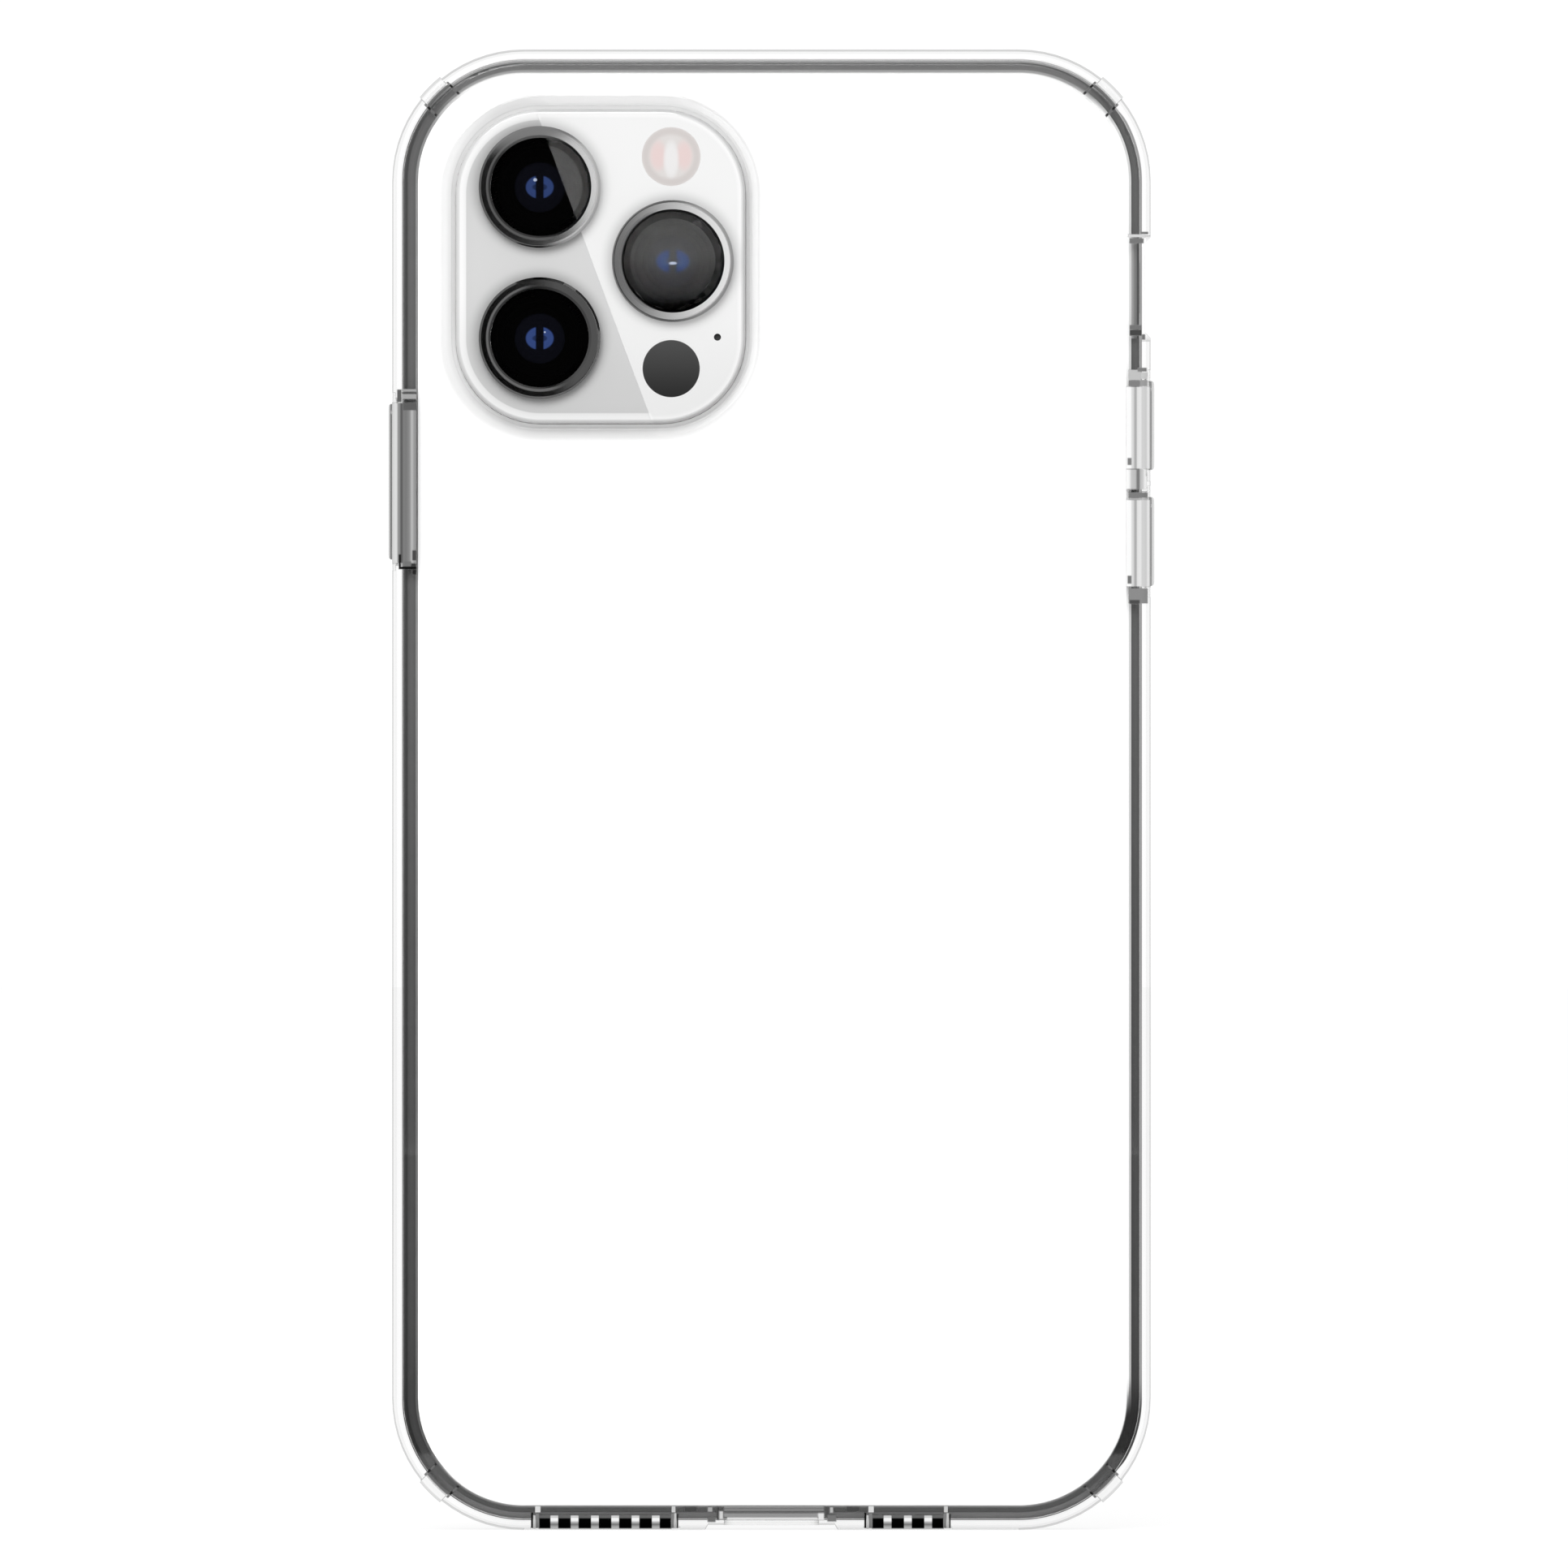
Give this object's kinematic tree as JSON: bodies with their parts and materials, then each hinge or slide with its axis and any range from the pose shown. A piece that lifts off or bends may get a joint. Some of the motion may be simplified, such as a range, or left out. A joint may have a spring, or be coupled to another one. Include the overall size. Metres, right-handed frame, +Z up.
{
  "type": "phone case",
  "caption": "Clear two-material phone case with pressable key covers, corner inserts and a raised camera guard, shown holding a plain display dummy of a phone.",
  "frame": {"origin": "centre of the charging port cut-out, in the plane of the bottom outer face and half way through the depth of the case wall", "axes": "+Z up the length of the case, +Y out of the display, so the back with the camera opening faces -Y, and +X to the right as seen from the back"},
  "size_m": [0.0756, 0.0112, 0.146],
  "materials": {
    "clear_soft": "clear glossy soft plastic",
    "clear_hard": "clear glossy hard plastic",
    "clear_guard": "clear glossy soft plastic",
    "clear_cushion": "clear glossy soft plastic, slightly denser",
    "clear_cover": "clear glossy soft plastic, slightly grey",
    "frame_metal": "polished dark graphite",
    "white_glass": "white backed glass",
    "island_glass": "pale grey glossy glass",
    "ring_dark": "polished black",
    "ring_silver": "polished silver",
    "lens_glass": "coated clear glass",
    "barrel_black": "matt black",
    "element_blue": "blue coated glass",
    "emitter": "warm white phosphor",
    "flash_glass": "frosted clear diffuser",
    "sensor_black": "dark infrared window",
    "mesh_dark": "fine dark mesh",
    "inner_metal": "plain metal",
    "inner_dark": "dark wrapped module",
    "screen_black": "screen that is off",
    "front_glass": "clear front glass"
  },
  "bodies": {
    "case": {"bumper_frame": "clear_soft", "back_panel": "clear_hard", "camera_guard_ring": "clear_guard", "corner_cushion_top_left": "clear_cushion", "corner_cushion_top_right": "clear_cushion", "corner_cushion_bottom_left": "clear_cushion", "corner_cushion_bottom_right": "clear_cushion"},
    "phone": {"phone_frame": "frame_metal", "back_glass": "white_glass", "camera_island": "island_glass", "midframe_plate": "inner_metal", "battery": "inner_dark", "logic_board": "inner_dark", "camera_module": "inner_metal", "speaker_module": "inner_dark", "vibration_motor": "inner_metal", "display_panel": "screen_black", "display_glass": "front_glass", "earpiece_mesh": "mesh_dark", "front_camera_lens": "lens_glass", "port_shell": "inner_metal", "port_tongue": "inner_dark", "bottom_screws": "inner_metal", "speaker_mesh_left": "mesh_dark", "speaker_mesh_right": "mesh_dark", "flash_emitters": "emitter", "flash_window": "flash_glass", "depth_sensor_window": "sensor_black", "rear_mic_insert": "mesh_dark", "lens_ring_upper": "ring_dark", "lens_ring_lower": "ring_dark", "lens_ring_side": "ring_silver", "lens_glass_upper": "lens_glass", "lens_barrel_upper": "barrel_black", "lens_element_upper": "element_blue", "lens_glass_lower": "lens_glass", "lens_barrel_lower": "barrel_black", "lens_element_lower": "element_blue", "lens_glass_side": "lens_glass", "lens_barrel_side": "barrel_black", "lens_element_side": "element_blue"},
    "side_cover": {"side_key_cover": "clear_cover"},
    "volume_up_pad": {"volume_up_cover": "clear_cover"},
    "volume_down_pad": {"volume_down_cover": "clear_cover"},
    "side_button": {"side_key": "frame_metal"},
    "volume_up_button": {"volume_up_key": "frame_metal"},
    "volume_down_button": {"volume_down_key": "frame_metal"},
    "silent_lever": {"mute_switch": "frame_metal"}
  },
  "joints": [
    {"name": "side_cover_press", "type": "slide", "parent": "case", "child": "side_cover", "axis": [1, 0, 0], "range_m": [0, 0.0003], "stiffness_N_per_m": 3000},
    {"name": "volume_up_cover_press", "type": "slide", "parent": "case", "child": "volume_up_pad", "axis": [-1, 0, 0], "range_m": [0, 0.0003], "stiffness_N_per_m": 3000},
    {"name": "volume_down_cover_press", "type": "slide", "parent": "case", "child": "volume_down_pad", "axis": [-1, 0, 0], "range_m": [0, 0.0003], "stiffness_N_per_m": 3000},
    {"name": "phone_lift_out", "type": "slide", "parent": "case", "child": "phone", "axis": [0, 1, 0], "range_m": [0, 0.025]},
    {"name": "side_key_press", "type": "slide", "parent": "phone", "child": "side_button", "axis": [1, 0, 0], "range_m": [0, 0.0003], "stiffness_N_per_m": 3000},
    {"name": "volume_up_key_press", "type": "slide", "parent": "phone", "child": "volume_up_button", "axis": [-1, 0, 0], "range_m": [0, 0.0003], "stiffness_N_per_m": 3000},
    {"name": "volume_down_key_press", "type": "slide", "parent": "phone", "child": "volume_down_button", "axis": [-1, 0, 0], "range_m": [0, 0.0003], "stiffness_N_per_m": 3000},
    {"name": "mute_switch_slide", "type": "slide", "parent": "phone", "child": "silent_lever", "axis": [0, 1, 0], "range_m": [0, 0.0012]}
  ],
  "couplings": [
    {"joint": "side_key_press", "follows": "side_cover_press", "ratio": 1},
    {"joint": "volume_up_key_press", "follows": "volume_up_cover_press", "ratio": 1},
    {"joint": "volume_down_key_press", "follows": "volume_down_cover_press", "ratio": 1}
  ]
}
